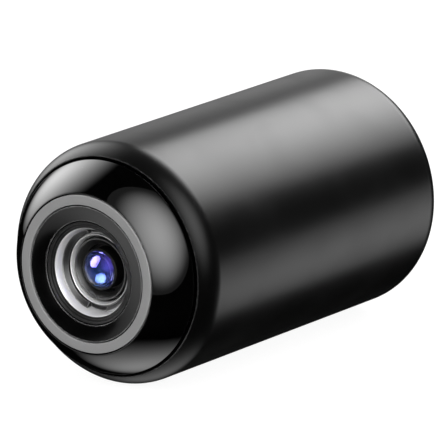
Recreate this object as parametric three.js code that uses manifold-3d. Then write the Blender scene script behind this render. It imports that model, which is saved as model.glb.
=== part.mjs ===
// A small cylindrical dash camera, laid out as the separate pieces it is assembled from.
//
// Millimetres. The cylinder's axis is Y and its lens looks along -Y. The origin is the centre of the
// flat rear face, where the camera is held, so the whole body has negative Y. +Z is up.
// The front plane is the flat face of the grey ring around the lens. A depth is measured from it.

import * as THREE from 'three';
import { mergeVertices } from 'three/addons/utils/BufferGeometryUtils.js';
import Module from 'manifold-3d';

const wasm = await Module();
wasm.setup();

// ---------------------------------------------------------------- driving dimensions

// Overall
const caseLength = 50;
const caseRadius = 14;
const caseWall = 2;
const seatGap = 0.3;          // between pieces that seat on, or pass through, each other
const ringGap = 0.15;         // between the close rings of the front and of the lens

// Rounded ends of the case
const rearEdgeRadius = 3;
const rimRadius = 3.56;       // of the curve that leads from the side in towards the bezel
const rimSweep = 50.6;        // degrees of that curve
const rimStart = 6.65;        // depth where the straight side ends

// Front: glossy bezel, grey ring and hood
const bezelSetBack = 0.2;     // of the bezel's edge in front of the case's edge
const bezelBulge = 0.36;
const bezelWall = 1.2;
const bezelSkirt = 2.5;       // length that plugs into the case
const bezelShelfOverlap = 0.4; // of the wall under the grey ring, past the bezel's opening
const sealHeight = 0.8;
const sealDepth = 0.6;
const sealSetBack = 0.8;      // of its groove behind the front of the skirt
const sealCorner = 0.2;
const trimRingWidth = 1.13;
const trimRingThickness = 1;
const hoodWidth = 1.8;
const hoodDrop = 0.51;
const hoodConeFront = 0.05;   // depth
const hoodTubeClearance = 0.4; // from the barrel
const hoodTubeWall = 1.05;
const hoodTubeEnd = 5.5;      // depth

// Lens
const barrelRadius = 5.85;
const barrelFront = 0.62;     // depth
const barrelEnd = 14;         // depth
const barrelWall = 0.5;
const barrelChamfer = 0.28;
const barrelRearOpening = 3.4;
const boreRingWall = 0.2;
const boreRingFront = 1.02;   // depth
const boreRingTaper = 0.31;
const boreRingTaperLead = 0.06; // of the taper's end in front of the lock ring
const lockRingFront = 1.85;   // depth
const lockRingWidth = 0.44;
const lockRingDish = 0.5;
const lockRingEnd = 2.9;      // depth
const lockNotchWidth = 2.6;
const lockNotchDepth = 0.9;
const shoulderSetBack = 0.4;  // of the barrel's shoulder behind the lock ring
const stackClearance = 0.1;   // of the lenses and spacers in the barrel
const retainerNeck = 0.6;
const retainerLip = 0.08;
const retainerWall = 0.28;
const retainerFlange = 0.5;
const baffleTop = 2.66;       // depth
const baffleOuter = 3.69;
const baffleLip = 0.1;
const baffleConeEnd = 3.44;   // depth
const baffleOpening = 2.78;
const baffleEnd = 4.1;        // depth
const frontLensRadius = 2.14;
const frontLensRim = 2.45;    // depth where its dome ends
const frontLensRise = 1.05;
const frontLensBulge = 0.28;  // of the dome, proud of a cone
const frontLensCellWall = 0.24;
const frontLensEdge = 0.9;
const spacerLength = 2;
const spacerWall = 1.2;
const middleLensEdge = 1.2;
const rearLensEdge = 1.4;
const lensBulge = 0.7;
const middleLensRear = 0.55;

// Lens holder and sensor
const holderFront = 7;        // depth
const holderWall = 1.45;
const holderShelf = 0.7;
const holderBaseLead = 1.3;   // of the square base in front of the shelf
const holderAperture = 3.2;
const sensorCavity = 11;
const sensorCavityDepth = 1.7;
const filterSize = 8;
const filterThickness = 0.3;
const sensorWidth = 7.5;
const sensorHeight = 6.5;
const sensorThickness = 0.9;
const earWidth = 5;
const earThickness = 1.6;
const earReach = 2.6;         // past the holder's wall
const holderScrewHead = 1;
const holderScrewShank = 0.5;
const boardThickness = 1;
const flexWidth = 3.4;
const flexThickness = 0.2;

// Infrared lamps behind the bezel
const lampCount = 6;
const lampSize = 1.6;
const lampHeight = 0.8;
const lampBoardSetBack = 0.8; // behind the seam
const lampBoardThickness = 0.8;

// Inner chassis
const chassisRingWidth = 3.6;
const chassisFrontThickness = 2;
const chassisRearThickness = 3;
const railDepth = 1.9;
const railWidth = 4.4;
const railLedge = 1.4;
const railStiffener = 3;
const boardInset = 1.5;       // of the main board's edges in from the chassis

// Chips on the main board: length, height and thickness
const processorSize = [8, 6, 1.1];
const memorySize = [6, 6, 0.9];
const radioShieldSize = [10, 5.4, 1.8];
const statusLampSize = [1.6, 1.2, 0.7];
const microphoneSize = [2.6, 2.6, 1];
const chipRow = 5.4;          // height of the two rows of chips from the axis
const processorLead = 3;      // in front of the light pipe

// Rear cap, its screws and the magnet
const rearFlange = 2;
const rearOpening = 9.4;
const capLedge = 1;
const capThickness = 0.7;
const magnetRadius = 6;
const magnetThickness = 1.9;
const magnetCover = 0.9;
const screwCount = 3;
const screwCircle = 7.7;
const screwHead = 1.5;
const screwHeadHeight = 0.6;
const screwShank = 0.7;
const screwLength = 4.6;
const screwSlotWidth = 0.35;
const screwSlotDepth = 0.25;
const capChamfer = 0.15;

// Sockets on the underside
const usbWidth = 8.94;
const usbHeight = 3.26;
const usbLength = 7.35;
const usbWall = 0.3;
const usbTongueWidth = 6.7;
const usbTongueThickness = 0.7;
const usbTongueSetBack = 0.7;
const usbTongueCorner = 0.2;
const usbTongueBase = 1.5;
const portRecess = 0.6;
const cardWidth = 11;
const cardLength = 15;
const cardThickness = 0.8;
const cardCorner = 0.35;
const cardSlotCorner = 0.4;
const cardRecess = 0.5;
const cardSocketWall = 0.3;
const cardPushTravel = 0.8;
const cardSocketOverlap = 12.4;

// Buttons, light pipe and microphone on the left side
const buttonRadius = 2.4;
const buttonFlange = 0.7;
const buttonFlangeThickness = 0.7;
const buttonStemRadius = 1;
const buttonTravel = 0.4;
const buttonProud = 0.1;
const buttonCrown = 0.06;
const buttonEdge = 0.3;
const switchSize = 3.2;
const switchHeight = 1.8;
const switchPlungerRadius = 0.7;
const switchPlungerHeight = 0.6;
const buttonSpacing = 9;
const lightPipeRadius = 0.8;
const lightPipeCollar = 0.35;
const lightPipeCollarLength = 0.8;
const lightPipeRecess = 0.1;
const lightPipeStandOff = 1.4; // from the main board
const microphoneHole = 0.6;
const microphoneReach = 14;   // from the power button, towards the lens

// Battery
const batteryThickness = 5.4;
const batteryHeight = 15;
const batteryLength = 21;
const batterySetOff = 1;      // from the USB socket

// Segments round each turned piece
const shellSegments = 48;
const ringSegments = 36;
const innerSegments = 24;
const smallSegments = 12;

// ---------------------------------------------------------------- colours

const finishes = {
  blackSatin: { color: 0x1b1b1c, roughness: 0.42, metalness: 0 },
  blackGloss: { color: 0x050506, roughness: 0.06, metalness: 0 },
  blackMatte: { color: 0x131314, roughness: 0.7, metalness: 0 },
  greyTrim: { color: 0x6f6f70, roughness: 0.6, metalness: 0 },
  silver: { color: 0xb9babc, roughness: 0.28, metalness: 1 },
  darkMetal: { color: 0x37373a, roughness: 0.45, metalness: 0.8 },
  steel: { color: 0x9a9b9e, roughness: 0.35, metalness: 1 },
  coatedGlass: { color: 0x2a3aa8, roughness: 0.03, metalness: 0 },
  boardGreen: { color: 0x14432a, roughness: 0.5, metalness: 0 },
  chip: { color: 0x1d1d20, roughness: 0.6, metalness: 0 },
  gold: { color: 0xb98a3c, roughness: 0.4, metalness: 1 },
  rubber: { color: 0x101010, roughness: 0.85, metalness: 0 },
  foil: { color: 0xa7a9ab, roughness: 0.45, metalness: 0.7 },
  clearPlastic: { color: 0xd8dadc, roughness: 0.2, metalness: 0 },
};

// ---------------------------------------------------------------- helpers

const dashCamera = new THREE.Group();

function add(name, geometry, finish) {
  const mesh = new THREE.Mesh(geometry, new THREE.MeshStandardMaterial(finishes[finish]));
  mesh.name = name;
  dashCamera.add(mesh);
  return mesh;
}

const atDepth = (depth) => depth - caseLength;

// Points on a circle in the plane of radius and depth; 0 degrees points away from the axis and 90 back.
function arc(centreRadius, centreDepth, radius, fromDegrees, toDegrees, steps) {
  return Array.from({ length: steps + 1 }, (_, i) => {
    const angle = THREE.MathUtils.degToRad(fromDegrees + ((toDegrees - fromDegrees) * i) / steps);
    return [centreRadius + radius * Math.cos(angle), centreDepth + radius * Math.sin(angle)];
  });
}

// A shallow curve between two points that stands proud of their chord by the bulge at its middle.
function bulged([r0, d0], [r1, d1], bulge, steps) {
  const length = Math.hypot(r1 - r0, d1 - d0);
  const normal = [(d1 - d0) / length, (r0 - r1) / length];
  return Array.from({ length: steps + 1 }, (_, i) => {
    const t = i / steps;
    const rise = bulge * 4 * t * (1 - t);
    return [r0 + (r1 - r0) * t + normal[0] * rise, d0 + (d1 - d0) * t + normal[1] * rise];
  });
}

// A piece turned about Y from a closed outline of [radius, depth] points, listed in either direction.
function turned(outline, segments) {
  const points = outline.map(([radius, depth]) => new THREE.Vector2(radius, atDepth(depth)));
  if (THREE.ShapeUtils.area(points) < 0) points.reverse();
  return new THREE.LatheGeometry([...points, points[0]], segments);
}

// A disc or stepped plug turned about Y, from an outline that starts and ends on the axis.
function turnedSolid(outline, segments) {
  const points = outline.map(([radius, depth]) => new THREE.Vector2(radius, atDepth(depth)));
  if (THREE.ShapeUtils.area(points) < 0) points.reverse();
  while (points[0].x > 0) points.push(points.shift());
  if (points[points.length - 1].x > 0) points.push(points.shift());
  return new THREE.LatheGeometry(points, segments);
}

function block(width, length, height, x, y, z) {
  return new THREE.BoxGeometry(width, length, height).translate(x, y, z);
}

// A rod along Y between two depths, moved sideways to x and z.
function rod(radius, fromDepth, toDepth, x, z, segments) {
  const length = Math.abs(toDepth - fromDepth);
  const middle = atDepth((fromDepth + toDepth) / 2);
  return new THREE.CylinderGeometry(radius, radius, length, segments).translate(x, middle, z);
}

// A rod along X between two x values.
function crossRod(radius, fromX, toX, y, z, segments) {
  const length = Math.abs(toX - fromX);
  const geometry = new THREE.CylinderGeometry(radius, radius, length, segments).rotateZ(Math.PI / 2);
  return geometry.translate((fromX + toX) / 2, y, z);
}

// A bar of rounded section that stands along Z, its long side along Y.
function roundedBar(length, thickness, corner, fromZ, toZ, x, y) {
  const halfLength = length / 2;
  const halfThickness = thickness / 2;
  const radius = Math.min(corner, halfThickness);
  const shape = new THREE.Shape();
  shape.absarc(halfThickness - radius, halfLength - radius, radius, 0, Math.PI / 2);
  shape.absarc(radius - halfThickness, halfLength - radius, radius, Math.PI / 2, Math.PI);
  shape.absarc(radius - halfThickness, radius - halfLength, radius, Math.PI, 1.5 * Math.PI);
  shape.absarc(halfThickness - radius, radius - halfLength, radius, 1.5 * Math.PI, 2 * Math.PI);
  const depth = toZ - fromZ;
  const geometry = new THREE.ExtrudeGeometry(shape, { depth, bevelEnabled: false, curveSegments: 6 });
  return geometry.translate(x, y, fromZ);
}

function toSolid(geometry) {
  const bare = geometry.clone();
  bare.deleteAttribute('normal');
  bare.deleteAttribute('uv');
  const merged = mergeVertices(bare);
  const index = merged.index.array;
  const triangles = [];
  for (let i = 0; i < index.length; i += 3) {
    const [a, b, c] = [index[i], index[i + 1], index[i + 2]];
    if (a !== b && b !== c && c !== a) triangles.push(a, b, c);
  }
  const vertProperties = new Float32Array(merged.attributes.position.array);
  return new wasm.Manifold(
    new wasm.Mesh({ numProp: 3, vertProperties, triVerts: new Uint32Array(triangles) }),
  );
}

function toGeometry(solid) {
  const mesh = solid.getMesh();
  const geometry = new THREE.BufferGeometry();
  geometry.setAttribute('position', new THREE.Float32BufferAttribute(mesh.vertProperties, 3));
  geometry.setIndex(new THREE.Uint32BufferAttribute(mesh.triVerts, 1));
  geometry.computeVertexNormals();
  return geometry;
}

const join = (...pieces) => toGeometry(pieces.map(toSolid).reduce((sum, piece) => sum.add(piece)));
const cut = (base, ...tools) =>
  toGeometry(tools.map(toSolid).reduce((left, tool) => left.subtract(tool), toSolid(base)));
const common = (a, b) => toGeometry(toSolid(a).intersect(toSolid(b)));

// ---------------------------------------------------------------- shared places

const boreRadius = caseRadius - caseWall;
const chassisRadius = boreRadius - seatGap;
const rimSweepRadians = THREE.MathUtils.degToRad(rimSweep);
const seamRadius = caseRadius - rimRadius + rimRadius * Math.cos(rimSweepRadians);
const seamDepth = rimStart - rimRadius * Math.sin(rimSweepRadians);
const seatSlope = seamRadius - boreRadius;

const hoodInner = barrelRadius + ringGap;
const hoodOuter = hoodInner + hoodWidth;
const hoodTubeInner = barrelRadius + hoodTubeClearance;
const hoodTubeOuter = hoodTubeInner + hoodTubeWall;
const trimInner = hoodOuter + ringGap;
const trimOuter = trimInner + trimRingWidth;
const bezelInner = trimOuter + ringGap;

const shelfDepth = barrelEnd + seatGap;
const holderBore = barrelRadius + seatGap;
const collarRadius = holderBore + holderWall;
const cavityFront = shelfDepth + holderShelf;
const holderEnd = cavityFront + sensorCavityDepth;
const sensorBoardFront = holderEnd + seatGap;
const sensorBoardEnd = sensorBoardFront + boardThickness;
const holderScrewX = collarRadius + earReach / 2;

const chassisFront = sensorBoardEnd + seatGap;
const chassisFrontEnd = chassisFront + chassisFrontThickness;
const flangeInnerFace = caseLength - rearFlange;
const chassisEnd = flangeInnerFace - seatGap;
const chassisRearFront = chassisEnd - chassisRearThickness;

const boardX = -(usbHeight / 2 + ringGap + boardThickness / 2);
const boardRight = boardX + boardThickness / 2;
const boardLeft = boardX - boardThickness / 2;
const boardFront = chassisFrontEnd + seatGap;
const boardEnd = chassisRearFront - seatGap;
const boardHalfHeight = chassisRadius - boardInset;

const usbDepth = boardEnd - usbWidth / 2 - seatGap;
const cardSocketWidth = cardWidth + 2 * (seatGap + cardSocketWall);
const cardDepth = usbDepth - usbWidth / 2 - seatGap - cardSocketWidth / 2;
const cardX = boardRight + ringGap + cardSocketWall + seatGap + cardThickness / 2;
const usbMouth = -(caseRadius - portRecess);
const cardMouth = -(caseRadius - cardRecess);

const powerButtonDepth = usbDepth;
const modeButtonDepth = powerButtonDepth - buttonSpacing;
const lightPipeDepth = (powerButtonDepth + modeButtonDepth) / 2;
const microphoneDepth = powerButtonDepth - microphoneReach;

// ---------------------------------------------------------------- case and front

function caseShell() {
  const outline = [
    ...arc(caseRadius - rearEdgeRadius, caseLength - rearEdgeRadius, rearEdgeRadius, 90, 0, 6),
    ...arc(caseRadius - rimRadius, rimStart, rimRadius, 0, -rimSweep, 4),
    [boreRadius, seamDepth + seatSlope],
    [boreRadius, flangeInnerFace],
    [rearOpening, flangeInnerFace],
    [rearOpening, caseLength - capLedge],
    [rearOpening + capLedge, caseLength - capLedge],
    [rearOpening + capLedge, caseLength],
  ];
  const through = -(boreRadius - 1);
  const past = -(caseRadius + 1);
  const usbSlot = roundedBar(usbWidth + 2 * seatGap, usbHeight + 2 * seatGap, usbHeight,
    past, through, 0, atDepth(usbDepth));
  const cardSlot = roundedBar(cardWidth + 2 * seatGap, cardThickness + 2 * seatGap, cardSlotCorner,
    past, through, cardX, atDepth(cardDepth));
  const sideHoles = [
    [buttonRadius + seatGap, powerButtonDepth],
    [buttonRadius + seatGap, modeButtonDepth],
    [lightPipeRadius + seatGap, lightPipeDepth],
    [microphoneHole, microphoneDepth],
  ].map(([radius, depth]) => crossRod(radius, past, through, atDepth(depth), 0, 24));
  return cut(turned(outline, shellSegments), usbSlot, cardSlot, ...sideHoles);
}

// The domed bezel: a flange that rests on the case's conical seat, a skirt that plugs into the bore
// with a groove for the seal, and a shelf that carries the grey ring.
function frontBezel() {
  const edge = [seamRadius - seatGap, seamDepth - bezelSetBack];
  const skirtRadius = boreRadius - seatGap;
  const skirtFront = edge[1] + edge[0] - skirtRadius;
  const skirtEnd = skirtFront + bezelSkirt;
  const shelfFront = trimRingThickness + ringGap;
  const grooveFront = skirtFront + sealSetBack;
  return turned([
    ...bulged(edge, [bezelInner, 0], -bezelBulge, 5),
    [bezelInner, shelfFront],
    [trimInner - ringGap / 2, shelfFront],
    [trimInner - ringGap / 2, shelfFront + bezelWall],
    [bezelInner + bezelShelfOverlap, shelfFront + bezelWall],
    [skirtRadius - bezelWall, skirtFront + bezelSetBack],
    [skirtRadius - bezelWall, skirtEnd],
    [skirtRadius, skirtEnd],
    [skirtRadius, grooveFront + sealHeight + 2 * ringGap],
    [skirtRadius - sealDepth, grooveFront + sealHeight + 2 * ringGap],
    [skirtRadius - sealDepth, grooveFront],
    [skirtRadius, grooveFront],
    [skirtRadius, skirtFront],
  ], shellSegments);
}

function bezelSeal() {
  const skirtRadius = boreRadius - seatGap;
  const skirtFront = seamDepth - bezelSetBack + seamRadius - seatGap - skirtRadius;
  const front = skirtFront + sealSetBack + ringGap;
  const inner = skirtRadius - sealDepth + ringGap;
  const outer = boreRadius - ringGap / 2;
  return turned([
    [inner + sealCorner, front], [outer - sealCorner, front], [outer, front + sealCorner],
    [outer, front + sealHeight - sealCorner], [outer - sealCorner, front + sealHeight],
    [inner + sealCorner, front + sealHeight], [inner, front + sealHeight - sealCorner],
    [inner, front + sealCorner],
  ], ringSegments);
}

function trimRing() {
  const bevel = 0.06;
  return turned([
    [trimInner, bevel], [trimInner + bevel, 0], [trimOuter - bevel, 0], [trimOuter, bevel],
    [trimOuter, trimRingThickness], [trimInner, trimRingThickness],
  ], ringSegments);
}

function lensHood() {
  return turned([
    [hoodInner, hoodConeFront + hoodDrop], [hoodOuter, hoodConeFront],
    [hoodOuter, trimRingThickness], [hoodTubeOuter, trimRingThickness],
    [hoodTubeOuter, hoodTubeEnd], [hoodTubeInner, hoodTubeEnd],
    [hoodTubeInner, trimRingThickness], [hoodInner, trimRingThickness],
  ], ringSegments);
}

// ---------------------------------------------------------------- lens

const barrelBore = barrelRadius - barrelWall;
const boreRingOuter = barrelBore - ringGap / 2;
const boreRingMouth = boreRingOuter - boreRingWall;
const boreRingInner = boreRingMouth - boreRingTaper;
const lensShoulder = lockRingEnd + shoulderSetBack;
const stackRadius = boreRingInner - stackClearance;
const stackBore = stackRadius + ringGap;
const retainerBore = stackRadius - lockRingWidth - ringGap;
const baffleFront = lockRingEnd + ringGap + retainerFlange + ringGap;
const frontLensFront = baffleEnd + ringGap;
const frontLensEnd = frontLensFront + frontLensEdge;
const spacerFront = frontLensEnd + ringGap;
const spacerEnd = spacerFront + spacerLength;
const middleLensFront = spacerEnd + ringGap + lensBulge;
const rearLensFront = middleLensFront + middleLensEdge + middleLensRear + lensBulge + ringGap;
const rearLensEnd = rearLensFront + rearLensEdge;

function lensBarrel() {
  return turned([
    [barrelRadius, barrelFront], [barrelBore, barrelFront + barrelChamfer],
    [barrelBore, lensShoulder],
    [stackBore, lensShoulder], [stackBore, rearLensEnd + ringGap],
    [barrelRearOpening, rearLensEnd + ringGap], [barrelRearOpening, barrelEnd],
    [barrelRadius, barrelEnd],
  ], ringSegments);
}

function boreRing() {
  return turned([
    [boreRingMouth, boreRingFront], [boreRingOuter, boreRingFront],
    [boreRingOuter, lensShoulder - ringGap], [boreRingInner, lensShoulder - ringGap],
    [boreRingInner, lockRingFront - boreRingTaperLead],
  ], ringSegments);
}

// The ring that a two-pin spanner turns: its dished face has two notches.
function lockRing() {
  const inner = stackRadius - lockRingWidth;
  const ring = turned([
    [stackRadius - ringGap / 2, lockRingFront], [stackRadius - ringGap / 2, lockRingEnd],
    [inner, lockRingEnd], [inner, lockRingFront + lockRingDish],
  ], ringSegments);
  const notch = block(lockNotchWidth, 2 * lockNotchDepth, 2 * stackRadius + 1,
    0, atDepth(lockRingFront), 0);
  return cut(ring, notch);
}

function retainingRing() {
  const flangeFront = lockRingEnd + ringGap;
  const neckFront = flangeFront - retainerNeck;
  const flangeEnd = flangeFront + retainerFlange;
  return turned([
    [retainerBore, neckFront], [retainerBore, flangeFront],
    [stackRadius - ringGap / 2, flangeFront], [stackRadius - ringGap / 2, flangeEnd],
    [retainerBore - retainerWall, flangeEnd], [retainerBore - retainerWall, flangeFront],
    [retainerBore - retainerLip, neckFront],
  ], innerSegments);
}

function baffleRing() {
  const neckOuter = Math.min(baffleOuter, retainerBore - retainerWall) - ringGap;
  return turned([
    [neckOuter, baffleTop], [neckOuter, baffleFront], [stackRadius, baffleFront],
    [stackRadius, baffleEnd], [baffleOpening, baffleEnd], [baffleOpening, baffleConeEnd],
    [neckOuter - baffleLip, baffleTop],
  ], innerSegments);
}

// The domed front element in its cell, which stands up through the baffle.
function frontLens() {
  const cellRadius = frontLensRadius + frontLensCellWall;
  return turnedSolid([
    ...bulged([frontLensRadius, frontLensRim], [0, frontLensRim - frontLensRise], -frontLensBulge, 5),
    [0, frontLensEnd], [stackRadius, frontLensEnd], [stackRadius, frontLensFront],
    [cellRadius, frontLensFront], [cellRadius, frontLensRim],
  ], innerSegments);
}

function lensSpacer() {
  return turned([
    [stackRadius, spacerFront], [stackRadius, spacerEnd],
    [stackRadius - spacerWall, spacerEnd], [stackRadius - spacerWall, spacerFront],
  ], innerSegments);
}

// An element with a flat edge, domed in front by the lens bulge and behind by the rear bulge.
function lensElement(front, edge, rearBulge) {
  const rear = front + edge;
  const back = rearBulge > 0
    ? bulged([0, rear + rearBulge], [stackRadius, rear], -rearBulge / 4, 4)
    : [[0, rear], [stackRadius, rear]];
  return turnedSolid([
    ...bulged([stackRadius, front], [0, front - lensBulge], -lensBulge / 4, 4),
    ...back,
  ], innerSegments);
}

// ---------------------------------------------------------------- lens holder and sensor

function lensHolder() {
  const baseFront = shelfDepth - holderBaseLead;
  const baseLength = holderEnd - baseFront;
  const baseSize = 2 * collarRadius;
  const base = block(baseSize, baseLength, baseSize, 0, atDepth(baseFront + baseLength / 2), 0);
  const ears = block(baseSize + 2 * earReach, earThickness, earWidth,
    0, atDepth(holderEnd - earThickness / 2), 0);
  const collar = rod(collarRadius, holderFront, baseFront + 0.5, 0, 0, innerSegments);
  const envelope = rod(chassisRadius, holderFront, holderEnd, 0, 0, ringSegments);
  return cut(
    common(join(collar, base, ears), envelope),
    rod(holderBore, holderFront - 1, shelfDepth, 0, 0, innerSegments),
    rod(holderAperture, holderFront, holderEnd, 0, 0, innerSegments),
    block(sensorCavity, 2 * sensorCavityDepth, sensorCavity, 0, atDepth(holderEnd), 0),
    ...holderScrewHoles(holderEnd - 2, holderEnd + 1),
  );
}

function sensorBoard() {
  return cut(
    rod(chassisRadius - seatGap, sensorBoardFront, sensorBoardEnd, 0, 0, ringSegments),
    ...holderScrewHoles(sensorBoardFront - 1, sensorBoardEnd + 1),
  );
}

function holderScrewHoles(fromDepth, toDepth) {
  const radius = holderScrewShank + seatGap;
  return [-holderScrewX, holderScrewX].map((x) => rod(radius, fromDepth, toDepth, x, 0, smallSegments));
}

// A slotted screw along Y. Its head starts at headDepth, and its shank runs on in the direction, 1 or -1.
function screw(x, z, headDepth, direction, headRadius, shankRadius, shankLength) {
  const headEnd = headDepth + direction * screwHeadHeight;
  const head = rod(headRadius, headDepth, headEnd, x, z, smallSegments);
  const shank = rod(shankRadius, headEnd - direction * 0.2, headEnd + direction * shankLength, x, z,
    smallSegments);
  const recess = block(headRadius, 2 * screwSlotDepth, screwSlotWidth, x, atDepth(headDepth), z);
  return cut(join(head, shank), recess);
}

// The flat cable that folds from the sensor board to the main board.
function sensorFlex() {
  const startX = boardRight + 4.5;
  const z = cardMouth + cardLength + cardPushTravel + 2 * seatGap + cardSocketWall + flexWidth / 2;
  const path = new THREE.CatmullRomCurve3([
    new THREE.Vector3(startX, atDepth(sensorBoardEnd + 0.25), z),
    new THREE.Vector3(startX - 0.3, atDepth(chassisFront + 0.9), z),
    new THREE.Vector3(startX - 2, atDepth(chassisFront + 1.5), z),
    new THREE.Vector3(boardRight + 1.3, atDepth(chassisFrontEnd), z),
    new THREE.Vector3(boardRight + 0.8, atDepth(boardFront + 0.7), z),
  ]);
  const halfWidth = flexWidth / 2;
  const halfThickness = flexThickness / 2;
  const section = new THREE.Shape([
    new THREE.Vector2(-halfWidth, -halfThickness), new THREE.Vector2(halfWidth, -halfThickness),
    new THREE.Vector2(halfWidth, halfThickness), new THREE.Vector2(-halfWidth, halfThickness),
  ]);
  return new THREE.ExtrudeGeometry(section, { steps: 12, extrudePath: path, bevelEnabled: false });
}

// ---------------------------------------------------------------- infrared lamps

const lampBoardInner = hoodTubeOuter + seatGap;
const lampBoardOuter = boreRadius - bezelWall - 2 * seatGap;
const lampCircle = (lampBoardInner + lampBoardOuter) / 2;
const lampBoardFront = seamDepth + lampBoardSetBack;
const lampBoardEnd = lampBoardFront + lampBoardThickness;

function lampBoard() {
  return turned([
    [lampBoardInner, lampBoardFront], [lampBoardOuter, lampBoardFront],
    [lampBoardOuter, lampBoardEnd], [lampBoardInner, lampBoardEnd],
  ], ringSegments);
}

function lamp(index) {
  const angle = (index + 0.5) * ((2 * Math.PI) / lampCount);
  const top = lampBoardFront - ringGap;
  const body = new THREE.BoxGeometry(lampSize, lampHeight, lampSize);
  body.rotateY(-angle);
  const y = atDepth(top - lampHeight / 2);
  return body.translate(lampCircle * Math.cos(angle), y, lampCircle * Math.sin(angle));
}

// ---------------------------------------------------------------- chassis and boards

// Two rings joined by three rails: one grooved for the main board, one it leans on, and a stiffener.
function innerChassis() {
  const railLength = chassisRearFront - chassisFrontEnd + 1;
  const railY = atDepth((chassisRearFront + chassisFrontEnd) / 2);
  const railTop = boardHalfHeight - 0.8;
  const railHeight = railDepth + 1;
  const openRadius = chassisRadius - chassisRingWidth;
  const rails = [
    block(railWidth, railLength, railHeight, boardX, railY, railTop + railHeight / 2),
    block(railLedge, railLength, railHeight, boardLeft - seatGap - railLedge / 2, railY,
      -railTop - railHeight / 2),
    block(railHeight, railLength, railStiffener, chassisRadius - railHeight / 2, railY, 0),
  ];
  const rings = [
    rod(chassisRadius, chassisFront, chassisFrontEnd, 0, 0, ringSegments),
    rod(chassisRadius, chassisRearFront, chassisEnd, 0, 0, ringSegments),
  ];
  const envelope = rod(chassisRadius, chassisFront, chassisEnd, 0, 0, ringSegments);
  const screwHoles = screwPlaces().map(([x, z]) =>
    rod(screwShank + seatGap, chassisRearFront - 1, chassisEnd + 1, x, z, smallSegments));
  return cut(
    common(join(...rings, ...rails), envelope),
    rod(openRadius, chassisFront - 1, chassisFrontEnd + 0.4, 0, 0, innerSegments),
    rod(magnetRadius + seatGap, chassisRearFront - 1, chassisEnd + 1, 0, 0, innerSegments),
    block(boardThickness + 2 * seatGap, railLength - 0.8, 2 * (boardHalfHeight + seatGap),
      boardX, railY, 0),
    ...screwHoles,
  );
}

function screwPlaces() {
  return Array.from({ length: screwCount }, (_, i) => {
    const angle = Math.PI / 2 + (i * 2 * Math.PI) / screwCount;
    return [screwCircle * Math.cos(angle), screwCircle * Math.sin(angle)];
  });
}

function mainBoard() {
  const length = boardEnd - boardFront;
  return block(boardThickness, length, 2 * boardHalfHeight, boardX, atDepth(boardFront + length / 2), 0);
}

// A flat chip on the left face of the main board.
function chip([length, height, thickness], depth, z) {
  return block(thickness, length, height, boardLeft - ringGap - thickness / 2, atDepth(depth), z);
}

function batteryCell() {
  const x = usbHeight / 2 + batterySetOff + batteryThickness / 2;
  const shape = new THREE.Shape();
  const half = batteryThickness / 2;
  const straight = batteryLength / 2 - half;
  shape.moveTo(half, -straight);
  shape.lineTo(half, straight);
  shape.absarc(0, straight, half, 0, Math.PI);
  shape.lineTo(-half, -straight);
  shape.absarc(0, -straight, half, Math.PI, 2 * Math.PI);
  const settings = { depth: batteryHeight, bevelEnabled: false, curveSegments: 8 };
  const geometry = new THREE.ExtrudeGeometry(shape, settings);
  return geometry.translate(x, atDepth((boardFront + boardEnd) / 2), -batteryHeight / 2);
}

// ---------------------------------------------------------------- sockets and card

function usbShell() {
  const end = usbMouth + usbLength;
  const y = atDepth(usbDepth);
  return cut(
    roundedBar(usbWidth, usbHeight, usbHeight, usbMouth, end, 0, y),
    roundedBar(usbWidth - 2 * usbWall, usbHeight - 2 * usbWall, usbHeight,
      usbMouth - 1, end - usbWall, 0, y),
  );
}

function usbTongue() {
  const end = usbMouth + usbLength - usbWall - ringGap;
  const start = usbMouth + usbTongueSetBack;
  const y = atDepth(usbDepth);
  const baseWidth = usbWidth - 2 * usbWall - 2 * seatGap;
  const baseHeight = usbHeight - 2 * usbWall - 2 * seatGap;
  return join(
    roundedBar(usbTongueWidth, usbTongueThickness, usbTongueCorner, start, end, 0, y),
    roundedBar(baseWidth, baseHeight, usbHeight, end - usbTongueBase, end, 0, y),
  );
}

function cardSocket() {
  const front = cardMouth + cardLength - cardSocketOverlap;
  const end = cardMouth + cardLength + cardPushTravel + seatGap;
  const thickness = cardThickness + 2 * (seatGap + cardSocketWall);
  const y = atDepth(cardDepth);
  return cut(
    block(thickness, cardSocketWidth, end + cardSocketWall - front, cardX, y,
      (front + end + cardSocketWall) / 2),
    block(cardThickness + 2 * seatGap, cardWidth + 2 * seatGap, end - front + 1, cardX, y,
      (front - 1 + end) / 2),
  );
}

function memoryCard() {
  return roundedBar(cardWidth, cardThickness, cardCorner, cardMouth, cardMouth + cardLength,
    cardX, atDepth(cardDepth));
}

// ---------------------------------------------------------------- buttons on the left side

const switchFace = boardLeft - ringGap - switchHeight - switchPlungerHeight;
const stemEnd = switchFace - buttonTravel - ringGap;

// Turned about X: cap, retaining flange inside the bore, and a stem that reaches its switch.
function button(depth) {
  const capFace = -(caseRadius - buttonProud);
  const flangeOuter = -Math.sqrt(boreRadius ** 2 - (buttonRadius + buttonFlange) ** 2) + seatGap;
  const flangeInner = flangeOuter + buttonFlangeThickness;
  const outline = [
    [0, capFace], [buttonRadius - buttonEdge, capFace + buttonCrown],
    [buttonRadius, capFace + buttonEdge],
    [buttonRadius, flangeOuter], [buttonRadius + buttonFlange, flangeOuter],
    [buttonRadius + buttonFlange, flangeInner], [buttonStemRadius, flangeInner],
    [buttonStemRadius, stemEnd], [0, stemEnd],
  ];
  const points = outline.map(([radius, x]) => new THREE.Vector2(radius, x));
  const geometry = new THREE.LatheGeometry(points, 24).rotateZ(-Math.PI / 2);
  return geometry.translate(0, atDepth(depth), 0);
}

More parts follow.
